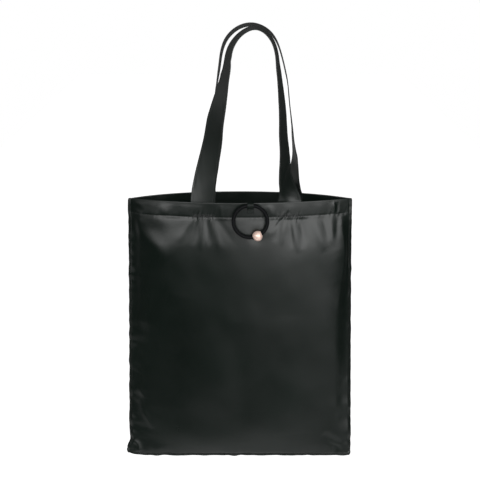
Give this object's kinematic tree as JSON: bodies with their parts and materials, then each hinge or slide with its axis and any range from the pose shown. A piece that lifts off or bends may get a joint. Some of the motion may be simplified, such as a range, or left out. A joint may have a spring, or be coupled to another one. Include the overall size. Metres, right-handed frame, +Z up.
{
  "type": "foldable tote bag",
  "caption": "Thin nylon tote bag that hangs open by two long strap handles, with an elastic loop and a bead on the hem that tie it when folded.",
  "frame": {"origin": "the point that carries the bag, on its middle plane, level with the inside of the two handle arches", "axes": "+Z up, -Y out of the front that carries the elastic loop, +X to the right seen from the front"},
  "size_m": [0.36, 0.1044, 0.6881],
  "materials": {
    "bag_cloth": "black coated nylon taffeta with a soft satin sheen",
    "hem_cloth": "the same nylon, folded into a band",
    "handle_cloth": "the same nylon, folded and sewn into a flat strap",
    "seam_edge": "turned and sewn nylon edge",
    "thread": "black polyester sewing thread",
    "elastic": "black braided round elastic",
    "sleeve": "black shrink sleeve",
    "tab_ribbon": "black woven ribbon",
    "bead": "rose gold plating, polished"
  },
  "bodies": {
    "bag": {"front_panel": "bag_cloth", "back_panel": "bag_cloth", "front_hem_band": "hem_cloth", "back_hem_band": "hem_cloth", "left_side_seam": "seam_edge", "right_side_seam": "seam_edge", "bottom_seam": "seam_edge", "front_hem_thread": "thread", "back_hem_thread": "thread", "left_seam_thread": "thread", "right_seam_thread": "thread", "bottom_seam_thread": "thread", "front_left_strap_end": "handle_cloth", "front_right_strap_end": "handle_cloth", "back_left_strap_end": "handle_cloth", "back_right_strap_end": "handle_cloth", "front_left_bartack": "thread", "front_right_bartack": "thread", "back_left_bartack": "thread", "back_right_bartack": "thread", "loop_tab": "tab_ribbon", "loop_tab_thread": "thread"},
    "front_handle": {"front_handle": "handle_cloth", "front_handle_thread": "thread"},
    "back_handle": {"back_handle": "handle_cloth", "back_handle_thread": "thread"},
    "elastic_loop": {"elastic_loop": "elastic", "loop_sleeve": "sleeve"},
    "loop_bead": {"loop_bead": "bead"}
  },
  "joints": [
    {"name": "front_handle_swing", "type": "hinge", "parent": "bag", "child": "front_handle", "pos_m": [0, -0.0418, -0.2645], "axis": [1, 0, 0], "range_deg": [0, 175]},
    {"name": "back_handle_swing", "type": "hinge", "parent": "bag", "child": "back_handle", "pos_m": [0, 0.0418, -0.2645], "axis": [-1, 0, 0], "range_deg": [0, 175]},
    {"name": "loop_swing", "type": "hinge", "parent": "bag", "child": "elastic_loop", "pos_m": [0.016, -0.04984, -0.267], "axis": [-1, 0, 0], "range_deg": [0, 170]},
    {"name": "bead_slide", "type": "hinge", "parent": "elastic_loop", "child": "loop_bead", "pos_m": [0.016, -0.04984, -0.2922], "axis": [0, -1, 0], "range_deg": [-172, 120]}
  ]
}
